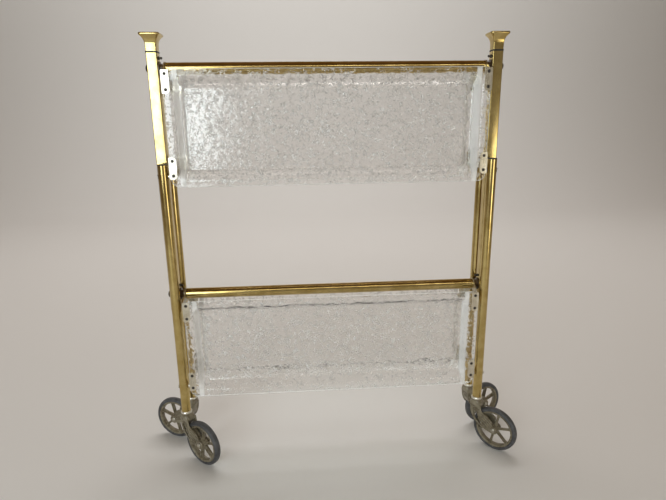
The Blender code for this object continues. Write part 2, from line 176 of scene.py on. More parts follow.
def combined(mesh, other, operation):
    """The Boolean result of two meshes."""
    objects = [bpy.data.objects.new("scratch", m) for m in (mesh, other)]
    for obj in objects:
        bpy.context.scene.collection.objects.link(obj)
    modifier = objects[0].modifiers.new("combine", "BOOLEAN")
    modifier.operation = operation
    modifier.solver = "EXACT"
    modifier.object = objects[1]
    bpy.context.view_layer.update()
    depsgraph = bpy.context.evaluated_depsgraph_get()
    result = bpy.data.meshes.new_from_object(objects[0].evaluated_get(depsgraph))
    for obj in objects:
        bpy.data.objects.remove(obj)
    return result


def piece(name, mesh, look, body, stands_for=(), matrix=Matrix(), sharp=35.0):
    """Put a mesh in the scene as a named piece that rides on a body.

    A mesh that already has materials keeps them and its shading.
    """
    if not mesh.materials:
        mesh.materials.append(look)
        mesh.shade_smooth()
        mesh.set_sharp_from_angle(angle=math.radians(sharp))
    obj = bpy.data.objects.new(name, mesh)
    bpy.context.scene.collection.objects.link(obj)
    obj.matrix_world = matrix
    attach(obj, body)
    if stands_for:
        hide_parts(*stands_for)
    return obj


def bevel(obj, width, segments=2, angle=40.0):
    modifier = obj.modifiers.new("bevel", "BEVEL")
    modifier.width = width
    modifier.segments = segments
    modifier.limit_method = "ANGLE"
    modifier.angle_limit = math.radians(angle)
    modifier.harden_normals = True


# ---------------------------------------------------------------- materials
def set_stops(ramp, stops):
    """Give a colour ramp its (position, colour) stops."""
    while len(ramp.elements) < len(stops):
        ramp.elements.new(0.5)
    for element, (position, color) in zip(ramp.elements, stops):
        element.position = position
        element.color = (*color, 1.0)


class Look:
    """A Principled material and short calls for the nodes that drive it."""

    def __init__(self, name, color, roughness, metallic=0.0):
        self.material = bpy.data.materials.new(name)
        self.material.use_nodes = True
        self.nodes = self.material.node_tree.nodes
        self.links = self.material.node_tree.links
        self.shader = self.nodes["Principled BSDF"]
        self.shader.inputs["Base Color"].default_value = (*color, 1.0)
        self.shader.inputs["Roughness"].default_value = roughness
        self.shader.inputs["Metallic"].default_value = metallic

    def set(self, **values):
        for name, value in values.items():
            self.shader.inputs[name.replace("_", " ")].default_value = value

    def space(self, scale):
        """Object coordinates, stretched."""
        coordinates = self.nodes.new("ShaderNodeTexCoord")
        mapping = self.nodes.new("ShaderNodeMapping")
        mapping.inputs["Scale"].default_value = scale
        self.links.new(coordinates.outputs["Object"], mapping.inputs["Vector"])
        return mapping.outputs["Vector"]

    def noise(self, vector, scale, detail=4.0, roughness=0.5, distortion=0.0):
        node = self.nodes.new("ShaderNodeTexNoise")
        node.inputs["Scale"].default_value = scale
        node.inputs["Detail"].default_value = detail
        node.inputs["Roughness"].default_value = roughness
        node.inputs["Distortion"].default_value = distortion
        self.links.new(vector, node.inputs["Vector"])
        return node.outputs["Fac"]

    def ranged(self, value, low, high, to_low, to_high):
        node = self.nodes.new("ShaderNodeMapRange")
        for name, number in zip(("From Min", "From Max", "To Min", "To Max"), (low, high, to_low, to_high)):
            node.inputs[name].default_value = number
        self.links.new(value, node.inputs["Value"])
        return node.outputs["Result"]

    def math(self, operation, first, second):
        node = self.nodes.new("ShaderNodeMath")
        node.operation = operation
        for socket, value in zip(node.inputs, (first, second)):
            if isinstance(value, float):
                socket.default_value = value
            else:
                self.links.new(value, socket)
        return node.outputs["Value"]

    def ramp(self, value, stops):
        node = self.nodes.new("ShaderNodeValToRGB")
        set_stops(node.color_ramp, stops)
        self.links.new(value, node.inputs["Fac"])
        return node.outputs["Color"]

    def drive(self, name, value):
        self.links.new(value, self.shader.inputs[name])

    def bump(self, height, strength, distance):
        node = self.nodes.new("ShaderNodeBump")
        node.inputs["Strength"].default_value = strength
        node.inputs["Distance"].default_value = distance
        self.links.new(height, node.inputs["Height"])
        self.links.new(node.outputs["Normal"], self.shader.inputs["Normal"])


def metal(name, deep, pale, rough, drawn, wear=0.10):
    """Metal with drawing lines along one axis, uneven tone and small worn specks."""
    look = Look(name, pale, rough[0], 1.0)
    lines = look.noise(look.space(drawn), 1.0, 3.0, 0.6)
    clouds = look.noise(look.space((1.0, 1.0, 1.0)), 38.0, 5.0, 0.6)
    specks = look.ranged(look.noise(look.space((1.0, 1.0, 1.0)), 420.0, 2.0, 0.7), 0.62, 0.80, 0.0, wear)
    look.drive("Base Color", look.ramp(clouds, ((0.30, deep), (0.62, pale))))
    grain = look.ranged(lines, 0.3, 0.7, rough[0], rough[1])
    look.drive("Roughness", look.math("ADD", grain, specks))
    look.bump(lines, 0.10, 0.0004)
    return look.material


def moulded(name, deep, mid, pale, rough, grain=900.0, depth=0.25):
    """Moulded plastic or rubber: fine grain, dusty patches and scuffs."""
    look = Look(name, mid, rough, 0.0)
    space = look.space((1.0, 1.0, 1.0))
    patches = look.noise(space, 70.0, 6.0, 0.62)
    fine = look.noise(space, grain, 2.0, 0.6)
    look.drive("Base Color", look.ramp(patches, ((0.28, deep), (0.50, mid), (0.74, pale))))
    look.drive("Roughness", look.ranged(patches, 0.3, 0.7, rough - 0.08, rough + 0.12))
    look.bump(fine, depth, 0.0003)
    return look.material


def clear_acrylic():
    """Clear sheet with soft waves and short creases; the creases are painted whitish as glints and the
    sloping end walls whitish as a painted reflection.

    Lamps shine through it, so that what is behind stays lit.
    """
    look = Look("acrylic_look", (0.960, 0.955, 0.950), 0.02)
    look.set(IOR=1.49)
    space = look.space((1.0, 1.0, 1.0))

    def distance(value, middle):
        return look.math("ABSOLUTE", look.math("SUBTRACT", value, middle), 0.0)

    veins = look.noise(space, 82.0, 2.0, 0.55, 1.2)
    off_line = distance(veins, 0.5)
    creases = look.ranged(off_line, 0.0, 0.026, 1.0, 0.0)
    patches = look.ranged(look.noise(space, 105.0, 2.0, 0.5), 0.50, 0.55, 0.0, 1.0)
    # the crease lines raise the relief, and below they also carry the painted glints
    lines = look.math("MULTIPLY", creases, patches)
    waves = look.noise(space, 120.0, 2.0, 0.5, 0.6)
    split = look.nodes.new("ShaderNodeSeparateXYZ")
    look.links.new(space, split.inputs["Vector"])
    off_wall = distance(look.math("ABSOLUTE", split.outputs["X"], 0.0), WALL_X)
    # painted reflection: the sloping end walls are painted whitish and less clear, standing in for a bright
    # window mirrored there
    wall = look.ranged(off_wall, 0.0035, 0.0060, 0.45, 0.0)
    height = look.math("ADD", lines, look.math("MULTIPLY", waves, 0.6))
    look.drive("Roughness", look.ranged(waves, 0.35, 0.75, 0.01, 0.04))
    # painted glints and painted reflection: the crease lines and the end walls lose clearness and show the
    # sheet's whitish colour
    painted_glints_and_reflection = look.math("MAXIMUM", look.math("MULTIPLY", lines, 0.75), wall)
    look.drive("Transmission Weight", look.math("SUBTRACT", 1.0, painted_glints_and_reflection))
    look.drive("Metallic", look.math("MULTIPLY", lines, 0.30))
    look.bump(height, 0.7, 0.0007)
    through = look.nodes.new("ShaderNodeBsdfTransparent")
    through.inputs["Color"].default_value = (0.86, 0.87, 0.86, 1.0)
    path = look.nodes.new("ShaderNodeLightPath")
    mix = look.nodes.new("ShaderNodeMixShader")
    look.links.new(path.outputs["Is Shadow Ray"], mix.inputs["Fac"])
    look.links.new(look.shader.outputs["BSDF"], mix.inputs[1])
    look.links.new(through.outputs["BSDF"], mix.inputs[2])
    look.links.new(mix.outputs["Shader"], look.nodes["Material Output"].inputs["Surface"])
    return look.material


def acrylic_edge():
    """The sawn and polished rim of the sheet, which glows with the light it gathers."""
    look = Look("acrylic_edge_look", (0.93, 0.95, 0.94), 0.2)
    look.set(IOR=1.49, Transmission_Weight=0.30)
    saw_lines = look.noise(look.space((1.0, 1.0, 1.0)), 600.0, 3.0, 0.6)
    look.drive("Roughness", look.ranged(saw_lines, 0.3, 0.7, 0.15, 0.35))
    look.bump(saw_lines, 0.2, 0.0002)
    return look.material


LINES_ALONG_X = (14.0, 2600.0, 2600.0)
LINES_ALONG_Z = (2600.0, 2600.0, 14.0)
EVEN_LINES = (700.0, 700.0, 700.0)
GOLD_DEEP = (0.45, 0.325, 0.105)
GOLD_PALE = (0.62, 0.480, 0.205)

LOOKS = {
    "gold_upright": metal("gold_upright_look", GOLD_DEEP, GOLD_PALE, (0.12, 0.20), LINES_ALONG_Z),
    "gold_cross": metal("gold_cross_look", GOLD_DEEP, GOLD_PALE, (0.12, 0.20), LINES_ALONG_X),
    "silver": metal("silver_look", (0.52, 0.46, 0.34), (0.80, 0.76, 0.66), (0.20, 0.34), LINES_ALONG_Z),
    "chrome": metal("chrome_look", (0.78, 0.78, 0.75), (0.93, 0.92, 0.90), (0.06, 0.14), EVEN_LINES),
    "satin_chrome": metal("satin_chrome_look", (0.84, 0.80, 0.70), (0.96, 0.93, 0.85), (0.30, 0.42),
                          EVEN_LINES),
    "steel": metal("steel_look", (0.36, 0.33, 0.27), (0.58, 0.55, 0.48), (0.25, 0.40), EVEN_LINES),
    "dark_steel": metal("dark_steel_look", (0.035, 0.030, 0.026), (0.10, 0.09, 0.08), (0.30, 0.45),
                        EVEN_LINES),
    "black_plastic": moulded("black_plastic_look", (0.010, 0.009, 0.008), (0.018, 0.017, 0.016),
                             (0.040, 0.038, 0.035), 0.45),
    "champagne": moulded("champagne_plastic_look", (0.115, 0.094, 0.060), (0.205, 0.175, 0.118),
                         (0.320, 0.285, 0.205), 0.27),
    "bronze": moulded("bronze_look", (0.030, 0.018, 0.010), (0.075, 0.045, 0.022), (0.16, 0.11, 0.06), 0.24),
    "rubber": moulded("rubber_look", (0.035, 0.035, 0.037), (0.070, 0.071, 0.076),
                      (0.130, 0.132, 0.140), 0.52, 1400.0, 0.35),
    "acrylic": clear_acrylic(),
    "acrylic_edge": acrylic_edge(),
}


# ---------------------------------------------------------------- central frame
def square_rings(middle, steps):
    """Rounded squares round a vertical axis, one for each (half width, corner radius, Z)."""
    rings = []
    for half_width, radius, z in steps:
        outline = rounded_rectangle(half_width, half_width, radius)
        rings.append([(middle.x + x, middle.y + y, z) for x, y in outline])
    return rings


def make_post(side):
    """A square tube, open at both ends."""
    low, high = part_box(side + "_post")
    middle = (low + high) / 2
    half = (high.x - low.x) / 2
    inside = half - TUBE_WALL
    steps = ((half - TUBE_EDGE, 0.0013, low.z), (half, 0.0016, low.z + TUBE_EDGE),
             (half, 0.0016, high.z - TUBE_EDGE), (half - TUBE_EDGE, 0.0013, high.z),
             (inside, 0.0006, high.z), (inside, 0.0006, low.z))
    mesh = lofted(square_rings(middle, steps), True)
    piece(side + "_post_tube", mesh, LOOKS["gold_upright"], "central_frame", (side + "_post",))


def make_knob(side):
    """A square trumpet with a shallow dished top, over a black gasket that stands a little proud."""
    low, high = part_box(side + "_knob")
    post_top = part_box(side + "_post")[1].z
    middle = (low + high) / 2
    wide = (high.x - low.x) / 2
    top = high.z
    foot = post_top + KNOB_GAP
    profile = [(0.0098, 0.0014, foot), (0.0099, 0.0015, foot + 0.0050), (0.0101, 0.0016, top - 0.0200),
               (0.0105, 0.0018, top - 0.0165), (0.0112, 0.0022, top - 0.0135),
               (0.0123, 0.0027, top - 0.0108), (0.0138, 0.0033, top - 0.0084),
               (0.0156, 0.0040, top - 0.0063), (0.0173, 0.0046, top - 0.0049),
               (wide - 0.0003, 0.0050, top - 0.0040), (wide, 0.0051, top - 0.0032),
               (wide, 0.0051, top - 0.0014), (wide - 0.0006, 0.0049, top - 0.0004),
               (wide - 0.0020, 0.0044, top), (wide - 0.0034, 0.0040, top - 0.0003),
               (wide - 0.0046, 0.0034, top - 0.0009), (0.0060, 0.0020, top - 0.0014)]
    mesh = lofted(square_rings(middle, profile))
    piece(side + "_knob_trumpet", mesh, LOOKS["gold_upright"], "central_frame", (side + "_knob",))

    gasket = ((0.0101, 0.0016, post_top - 0.0007), (0.0105, 0.0018, post_top - 0.0004),
              (0.0105, 0.0018, foot + 0.0007), (0.0101, 0.0016, foot + 0.0010))
    piece(side + "_knob_gasket", lofted(square_rings(middle, gasket)), LOOKS["black_plastic"],
          "central_frame")


def make_post_foot(side):
    low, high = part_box(side + "_post_bottom_cap")
    middle = (low + high) / 2
    half = (high.x - low.x) / 2
    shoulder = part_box(side + "_post")[0].z - CLEARANCE
    steps = ((half - 0.0010, 0.0010, low.z), (half - 0.0002, 0.0015, low.z + 0.0005),
             (half, 0.0016, low.z + 0.0010), (half, 0.0016, shoulder),
             (half - 0.0020, 0.0008, shoulder), (half - 0.0021, 0.0008, high.z))
    piece(side + "_post_foot_plug", lofted(square_rings(middle, steps)), LOOKS["black_plastic"],
          "central_frame", (side + "_post_bottom_cap",))


def make_cross_tube(tier):
    low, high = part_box(tier + "_cross_tube")
    radius = (high.z - low.z) / 2
    length = high.x - low.x
    bore = radius - TUBE_WALL
    profile = [(radius, TUBE_EDGE), (radius, length - TUBE_EDGE), (radius - TUBE_EDGE, length),
               (bore, length), (bore, 0.0), (radius - TUBE_EDGE, 0.0)]
    mesh = turned(profile, TUBE_STEPS, along_x(low.x, MIDDLE_Y, HINGE_Z[tier]), True)
    piece(tier + "_cross_bar", mesh, LOOKS["gold_cross"], "central_frame", (tier + "_cross_tube",))


def make_hinge_bolt(tier, side_name, side):
    """Dark bolt with a domed head and washer outside the post, and a stepped black bush inside it."""
    name = tier + "_" + side_name
    post_low, post_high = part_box(side_name + "_post")
    outer = max(abs(post_low.x), abs(post_high.x)) + CLEARANCE
    inner = min(abs(post_low.x), abs(post_high.x)) - 0.0003
    tube_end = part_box(tier + "_cross_tube")[1].x
    place = along_x(0.0, MIDDLE_Y, HINGE_Z[tier], side)
    bolt = [(0.0, outer + 0.0043), (0.0026, outer + 0.0042), (0.0046, outer + 0.0037),
            (0.0060, outer + 0.0028), (0.0068, outer + 0.0016), (0.0072, outer + 0.0008),
            (0.0072, outer + 0.0002), (0.0069, outer), (0.0029, outer), (0.0029, tube_end),
            (0.0088, tube_end - 0.0004), (0.0088, tube_end - 0.0200), (0.0, tube_end - 0.0200)]
    piece(name + "_hinge_bolt", turned(bolt, 40, place), LOOKS["dark_steel"], "central_frame",
          (name + "_hinge_pin",))
    bush = [(0.0031, inner), (0.0118, inner), (0.0124, inner - 0.0004), (0.0125, inner - 0.0017),
            (0.0119, inner - 0.0022), (0.0090, inner - 0.0024), (0.0080, inner - 0.0032),
            (0.0079, BUSH_INNER + 0.0004), (0.0075, BUSH_INNER), (0.0031, BUSH_INNER)]
    piece(name + "_hinge_bush", turned(bush, 48, place, True), LOOKS["bronze"], "central_frame")


def make_stud(tier, side_name, side):
    """A small dark locating screw in the post's inner face, just above the hinge."""
    post_low, post_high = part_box(side_name + "_post")
    inner = min(abs(post_low.x), abs(post_high.x)) - CLEARANCE
    profile = [(0.0, inner - 0.0062), (0.0014, inner - 0.0061), (0.0021, inner - 0.0055),
               (0.0023, inner - 0.0046), (0.0022, inner - 0.0030), (0.0012, inner - 0.0027),
               (0.0012, inner - 0.0016), (0.0030, inner - 0.0014), (0.0033, inner - 0.0009),
               (0.0033, inner), (0.0, inner)]
    place = along_x(0.0, MIDDLE_Y, HINGE_Z[tier] + STUD_RISE, side)
    piece("_".join((tier, side_name, "post_stud")), turned(profile, 28, place), LOOKS["dark_steel"],
          "central_frame")


# ---------------------------------------------------------------- trays
TRAY_CELL = 0.00165
FLANGE = 0.016
SLOPE = 0.011
BEND = 0.0048
CORNER = 0.015
EDGE_BULGE = 0.0007
EDGE_BAND = 0.0004           # how far in from the rim the sawn and polished edge shows
SKIN = 0.0001                # least depth of the relief below the sheet's nominal faces
RELIEF_LIMITS = (0.0012, 0.0014)     # the deepest the relief may cut, outer face and inner face
RIM_FADE = 0.004             # the relief grows to its full depth over this distance from the rim
RIM_SHARE = 0.25             # and this much of it is left at the rim
TRAY_RELIEF = {"upper": (0.00036, 0.80), "lower": (0.00095, 0.38)}   # depth, and its scale along X


def ridged(point, scale, seed):
    """Sharp creases: one along them and falling away on both sides."""
    warp = noise.noise_vector(point * (scale * 0.45) + Vector((seed, 7.3, 1.1)))
    value = noise.noise(point * scale + warp * 0.9 + Vector((0.0, seed, 0.0)))
    return 1.0 - min(1.0, abs(value) * 2.6)


def crinkle(points, seed, amount, stretch):
    """Crumpled relief for each point, in metres: long creases that run mostly along X, and short ones."""
    heights = []
    for x, z in points:
        long = ridged(Vector((x * stretch, z, 0.0)), 62.0, seed)
        short = ridged(Vector((x * (0.5 + stretch / 2), z, 0.0)), 125.0, seed + 11.0)
        swell = noise.noise(Vector((x, z, seed)) * 14.0)
        heights.append(amount * (0.62 * long * long + 0.30 * short + 0.80 * swell + 0.30))
    return np.array(heights)


def rectangle_depth(x, z, half_x, half_z, radius):
    """How far inside a rounded rectangle each point is."""
    dx = np.abs(x) - (half_x - radius)
    dz = np.abs(z) - (half_z - radius)
    outside = np.hypot(np.maximum(dx, 0.0), np.maximum(dz, 0.0))
    return radius - outside - np.minimum(np.maximum(dx, dz), 0.0)


def soft_step(distance, start, length, bend):
    """0 to 1 along a slope whose two ends are rounded."""
    def curve(t):
        return 0.5 * np.maximum(t, 0.0) ** 2

    rise = (curve(distance - start + bend) - curve(distance - start - bend)
            - curve(distance - start - length + bend) + curve(distance - start - length - bend))
    return rise / (2 * bend * length)


def sheet_rows(half_z):
    """Heights of a tray's rows, closer together round the corners."""
    turn = [half_z - CORNER + CORNER * math.sin(math.radians(90 - 9 * i)) for i in range(10)]
    straight = half_z - CORNER
    count = round(2 * straight / TRAY_CELL)
    middle = [straight - 2 * straight * i / count for i in range(count + 1)]
    return turn + middle + [-z for z in reversed(turn)]


def make_tray(name, end, body, seed, relief, stretch):
    """A pressed acrylic sheet with two crinkled faces and a ridged edge of its own look."""
    low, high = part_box(name)
    middle = (low + high) / 2
    half_x = (high.x - low.x) / 2
    half_z = (high.z - low.z) / 2
    face = low.y if end < 0 else high.y
    depth = high.y - low.y - SHEET_THICK
    rows = np.array(sheet_rows(half_z))
    columns = np.linspace(-1.0, 1.0, round(2 * half_x / TRAY_CELL) + 1)
    into_corner = np.maximum(np.abs(rows) - (half_z - CORNER), 0.0)
    widths = half_x - CORNER + np.sqrt(np.maximum(CORNER ** 2 - into_corner ** 2, 0.0))
    x = widths[:, None] * columns[None, :]
    z = np.repeat(rows[:, None], len(columns), 1)
    inward = rectangle_depth(x, z, half_x - FLANGE, half_z - FLANGE, CORNER + 0.003)
    sunk = depth * soft_step(inward, 0.0, SLOPE, BEND)

    # the two faces are offset along the sheet's own normal
    surface = np.stack([x, sunk, z], -1)
    across = np.gradient(surface, axis=1)
    down = np.gradient(surface, axis=0)
    normal = np.cross(across, down)
    normal /= np.linalg.norm(normal, axis=-1, keepdims=True)
    normal *= np.sign(normal[..., 1:2])
    flat = np.stack([x.ravel(), z.ravel()], -1)
    rim = np.clip(rectangle_depth(x, z, half_x, half_z, CORNER) / RIM_FADE, RIM_SHARE, 1.0)
    reliefs = []
    for face_seed, limit in zip((seed, seed + 50.0), RELIEF_LIMITS):
        heights = crinkle(flat, face_seed, relief, stretch).reshape(x.shape)
        reliefs.append(np.clip(heights, 0.0, limit) * rim)
    top = surface + normal * (SKIN + reliefs[0])[..., None]
    under = surface + normal * (SHEET_THICK - SKIN - reliefs[1])[..., None]
    corner_x = np.maximum(np.abs(x) - (half_x - CORNER), 0.0) * np.sign(x)
    corner_z = np.maximum(np.abs(z) - (half_z - CORNER), 0.0) * np.sign(z)
    outward = np.stack([corner_x, np.zeros_like(x), corner_z], -1)
    outward /= np.maximum(np.linalg.norm(outward, axis=-1, keepdims=True), 1e-9)
    edge = surface + normal * (SHEET_THICK / 2) + outward * EDGE_BULGE
    for grid in (top, under, edge):
        grid[..., 1] = face - end * grid[..., 1]
        grid[..., 0] += middle.x
        grid[..., 2] += middle.z
    verts = [tuple(p) for grid in (top, under) for p in grid.reshape(-1, 3)]

    row_count, column_count = x.shape
    size = row_count * column_count
    faces = []
    for layer in (0, size):
        for i in range(row_count - 1):
            for j in range(column_count - 1):
                a = layer + i * column_count + j
                faces.append((a, a + 1, a + column_count + 1, a + column_count))
    border = [(0, j) for j in range(column_count)]
    border += [(i, column_count - 1) for i in range(1, row_count)]
    border += [(row_count - 1, j) for j in reversed(range(column_count - 1))]
    border += [(i, 0) for i in reversed(range(1, row_count - 1))]
    rim_start = len(verts)
    for i, j in border:
        verts.append(tuple(edge[i, j]))
    for k, (i, j) in enumerate(border):
        m = (k + 1) % len(border)
        a = i * column_count + j
        b = border[m][0] * column_count + border[m][1]
        faces.append((a, b, rim_start + m, rim_start + k))
        faces.append((rim_start + k, rim_start + m, size + b, size + a))
    mesh = finished_mesh(name, verts, faces)
    for look in ("acrylic", "acrylic_edge"):
        mesh.materials.append(LOOKS[look])
    centres = np.empty(len(mesh.polygons) * 3)
    mesh.polygons.foreach_get("center", centres)
    centres = centres.reshape(-1, 3)
    from_edge = rectangle_depth(centres[:, 0] - middle.x, centres[:, 2] - middle.z, half_x, half_z, CORNER)
    mesh.polygons.foreach_set("material_index", (from_edge < EDGE_BAND).astype(np.int32))
    mesh.shade_smooth()
    mesh.set_sharp_from_angle(angle=math.radians(60.0))
    piece(name + "_sheet", mesh, None, body, (name,))


# ---------------------------------------------------------------- brackets, screws and rivets
PLATE_R = 0.0070
SCREW_PITCH = 0.027
HINGE_SCREW_DROP = 0.0125
LEG_SCREW_RISE = 0.002
# radius of the ear's lobe, the angles its arc runs between, and radius of the plate's top corner
BRACKETS = {
    "hinge": (0.0115, (125.0, -105.0), 0.0012),
    "leg": (0.0065, (55.0, -125.0), PLATE_R),
}


def make_bracket(tier, end_name, end, side_name, side, kind, body):
    """A stamped plate on the flange with an ear folded back to its pivot."""
    name = "_".join((end_name, tier, side_name, kind, "bracket"))
    low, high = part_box(name)
    lobe_r, angles, corner = BRACKETS[kind]
    half = PLATE_THICK / 2
    inner_x = min(abs(low.x), abs(high.x))
    fold_x = max(abs(low.x), abs(high.x))
    face = (low.y + half) if end < 0 else (high.y - half)
    if kind == "hinge":
        pivot = (MIDDLE_Y, HINGE_Z[tier])
        bottom = HINGE_Z[tier] - HINGE_SCREW_DROP - SCREW_PITCH - PLATE_R
    else:
        pivot = (centre(end_name + "_left_leg").y, PIVOT_Z[tier])
        bottom = PIVOT_Z[tier] + LEG_SCREW_RISE - PLATE_R
    top = bottom + SCREW_PITCH + 2 * PLATE_R
    middle = inner_x + PLATE_R
    outline = arc((middle, bottom + PLATE_R), PLATE_R, 270.0, 180.0, 12)
    outline += arc((inner_x + corner, top - corner), corner, 180.0, 90.0, 12)
    outline += [(fold_x - 0.0015, top), (fold_x, top - 0.0015), (fold_x, bottom + 0.0015),
                (fold_x - 0.0015, bottom)]
    plate = slab([(side * x, z) for x, z in outline], face - half, face + half)

    inward = -end
    ear = [(face, top - PLATE_R)]
    for y, z in arc((0.0, pivot[1]), lobe_r, *angles, 20):
        ear.append((pivot[0] + inward * y, z))
    ear.append((face, bottom + PLATE_R))
    ear_x = side * (fold_x - half)
    rings = [[(ear_x + shift, y, z) for y, z in ear] for shift in (-half, half)]
    mesh = combined(plate, lofted(rings), "UNION")
    obj = piece(name + "_plate", mesh, LOOKS["silver"], body, (name,))
    bevel(obj, 0.00035)
    places = [(side * middle, z) for z in (bottom + PLATE_R, top - PLATE_R)]
    for label, (x, z) in zip(("low", "high"), places):
        make_screw(name + "_" + label, x, face + end * half, z, end, body)


def screw_mesh():
    """A pan head with a cross recess, standing on Z = 0 and facing up Z."""
    profile = [(0.0, 0.00135), (0.0011, 0.0013), (0.0021, 0.00105), (0.0028, 0.0005), (0.0030, 0.0),
               (0.0015, 0.0), (0.0015, -0.0060), (0.0, -0.0060)]
    head = turned(profile, 32)
    bars = []
    for half_x, half_y in ((0.0012, 0.0003), (0.0003, 0.0012)):
        outline = rounded_rectangle(half_x, half_y, 0.0001, 2)
        bars.append(lofted([[(x, y, 0.0006) for x, y in outline], [(x, y, 0.002) for x, y in outline]]))
    return combined(combined(head, bars[0], "DIFFERENCE"), bars[1], "DIFFERENCE")


def nut_mesh():
    """A small chamfered hexagon nut from Z = 0 up Z."""
    hexagon = [(math.cos(math.radians(60 * i)), math.sin(math.radians(60 * i))) for i in range(6)]
    steps = ((0.0026, 0.0), (0.0029, 0.0003), (0.0029, 0.0017), (0.0026, 0.0020))
    return lofted([[(r * x, r * y, z) for x, y in hexagon] for r, z in steps])


SCREW_MESH = screw_mesh()
NUT_MESH = nut_mesh()


def make_screw(name, x, y, z, end, body):
    """A screw through the flange, its head outside and its nut on the sheet's far side."""
    outward = Matrix.Rotation(end * -math.pi / 2, 4, "X")
    turn = Matrix.Rotation(noise.noise(Vector((x, z, end)) * 40.0) * 3.0, 4, "Z")
    head = Matrix.Translation((x, y + end * 0.0001, z)) @ outward @ turn
    piece(name + "_screw", SCREW_MESH, LOOKS["dark_steel"], body, matrix=head)
    back = y - end * (PLATE_THICK + SHEET_THICK + 0.0008)
    nut = Matrix.Translation((x, back, z)) @ outward @ Matrix.Rotation(math.pi, 4, "X") @ turn
    piece(name + "_nut", NUT_MESH, LOOKS["steel"], body, matrix=nut, sharp=20.0)


def make_rivet(end_name, side_name, side, tier):
    """A domed bright rivet through the leg with a spacing collar up to the bracket's ear."""
    name = "_".join((end_name, side_name, tier, "rivet"))
    low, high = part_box(name)
    middle = (low + high) / 2
    inner = min(abs(low.x), abs(high.x))
    outer = max(abs(low.x), abs(high.x))
    leg = centre("_".join((end_name, side_name, "leg")))
    outside = abs(leg.x) + LEG_R + CLEARANCE
    inside = abs(leg.x) - LEG_R - CLEARANCE
    collar_in = inner + 0.0022 + PLATE_THICK + 0.0006
    profile = [(0.0, outer), (0.0014, outer - 0.0001), (0.0027, outer - 0.0006), (0.0037, outer - 0.0012),
               (0.0044, outside + 0.0003), (0.0044, outside), (0.0024, outside), (0.0024, inside),
               (0.0036, inside), (0.0040, inside - 0.0004), (0.0040, collar_in + 0.0003),
               (0.0037, collar_in), (0.0024, collar_in), (0.0024, inner + 0.0022), (0.0044, inner + 0.0022),
               (0.0044, inner + 0.0018), (0.0036, inner + 0.0010), (0.0020, inner + 0.0002), (0.0, inner)]
    mesh = turned(profile, 36, along_x(0.0, middle.y, middle.z, side))
    look = LOOKS["chrome" if tier == "upper" else "satin_chrome"]
    piece(name + "_head", mesh, look, end_name + "_legs", (name,))


# ---------------------------------------------------------------- legs
def make_leg(end_name, side_name):
    name = end_name + "_" + side_name
    low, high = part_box(name + "_leg")
    middle = (low + high) / 2
    collar_r = (high.x - low.x) / 2
    collar_top = low.z + 0.0042
    top = high.z - 0.0024
    place = Matrix.Translation((middle.x, middle.y, 0.0))
    body = end_name + "_legs"
    bore = LEG_R - TUBE_WALL
    tube = [(LEG_R, collar_top), (LEG_R, top - 0.0003), (LEG_R - 0.0003, top), (bore, top),
            (bore, collar_top)]
    piece(name + "_leg_tube", turned(tube, TUBE_STEPS, place, True), LOOKS["gold_upright"], body,
          (name + "_leg",))
    cap = [(0.0, high.z), (0.0040, high.z - 0.0002), (0.0072, high.z - 0.0006), (0.0090, top + 0.0014),
           (LEG_R, top + 0.0007), (LEG_R, top + 0.0001), (0.0078, top + 0.0001), (0.0078, top - 0.0060),
           (0.0, top - 0.0060)]
    piece(name + "_leg_cap", turned(cap, 48, place), LOOKS["black_plastic"], body)
    collar = [(LEG_R + 0.0001, collar_top + 0.0012), (LEG_R + 0.0009, collar_top + 0.0010),
              (collar_r - 0.0003, collar_top - 0.0001), (collar_r, collar_top - 0.0012),
              (collar_r - 0.0002, collar_top - 0.0028), (collar_r - 0.0013, low.z), (0.0047, low.z),
              (0.0047, collar_top), (LEG_R + 0.0001, collar_top)]
    piece(name + "_leg_collar", turned(collar, 56, place, True), LOOKS["satin_chrome"], body)


# ---------------------------------------------------------------- casters
CROWN_TOP = 0.1040
CHEEK_IN = 0.0086
CHEEK_OUT = 0.0104
FORK_HALF = 0.0118
SLOT_R = 0.0498
WHEEL_R = 0.048
TRAIL = 0.046
RIM_R = 0.0405
RIM_HALF = 0.0062
HUB_R = 0.0088
HUB_HALF = 0.0080
TYRE_HALF = 0.0070
SPOKES = 6
SPOKE_TURN = 12.0
# the fork's side lines as (X, Z), with X from the stem's axis towards the axle and Z from the ground
NECK = ((-0.0102, 0.0945), (-0.0088, 0.0860), (-0.0078, 0.0780), (-0.0052, 0.0690), (-0.0005, 0.0605),
        (0.0070, 0.0530), (0.0165, 0.0468), (0.0290, 0.0420), (0.0400, 0.0398))
BACK = ((0.0425, 0.0650), (0.0390, 0.0688), (0.0300, 0.0742), (0.0215, 0.0782), (0.0168, 0.0830),
        (0.0152, 0.0900), (0.0140, 0.0970))
HAIRPIN = ((0.0262, 0.0455), (0.0150, 0.0512), (0.0065, 0.0590), (0.0012, 0.0690), (-0.0020, 0.0780),
           (-0.0012, 0.0845), (0.0040, 0.0862), (0.0080, 0.0815), (0.0098, 0.0740), (0.0130, 0.0645),
           (0.0200, 0.0560), (0.0300, 0.0500), (0.0400, 0.0470))
RIBS = (
    ((0.0190, 0.0690), (0.0285, 0.0640), (0.0370, 0.0575), (0.0425, 0.0535)),
    ((0.0185, 0.0630), (0.0260, 0.0585), (0.0340, 0.0532), (0.0400, 0.0500)),
    ((0.0180, 0.0755), (0.0290, 0.0702), (0.0385, 0.0632), (0.0450, 0.0580)),
)
# the crown's sections from the bottom up: least X, greatest X, half width, corner radius and Z
CROWN = (
    (-0.0100, 0.0140, 0.0104, 0.0030, 0.0905),
    (-0.0108, 0.0146, 0.0114, 0.0045, 0.0930),
    (-0.0114, 0.0142, 0.0118, 0.0060, 0.0962),
    (-0.0115, 0.0130, 0.0118, 0.0080, 0.0995),
    (-0.0110, 0.0118, 0.0114, 0.0100, 0.1025),
    (-0.0098, 0.0104, 0.0102, 0.0098, CROWN_TOP),
)


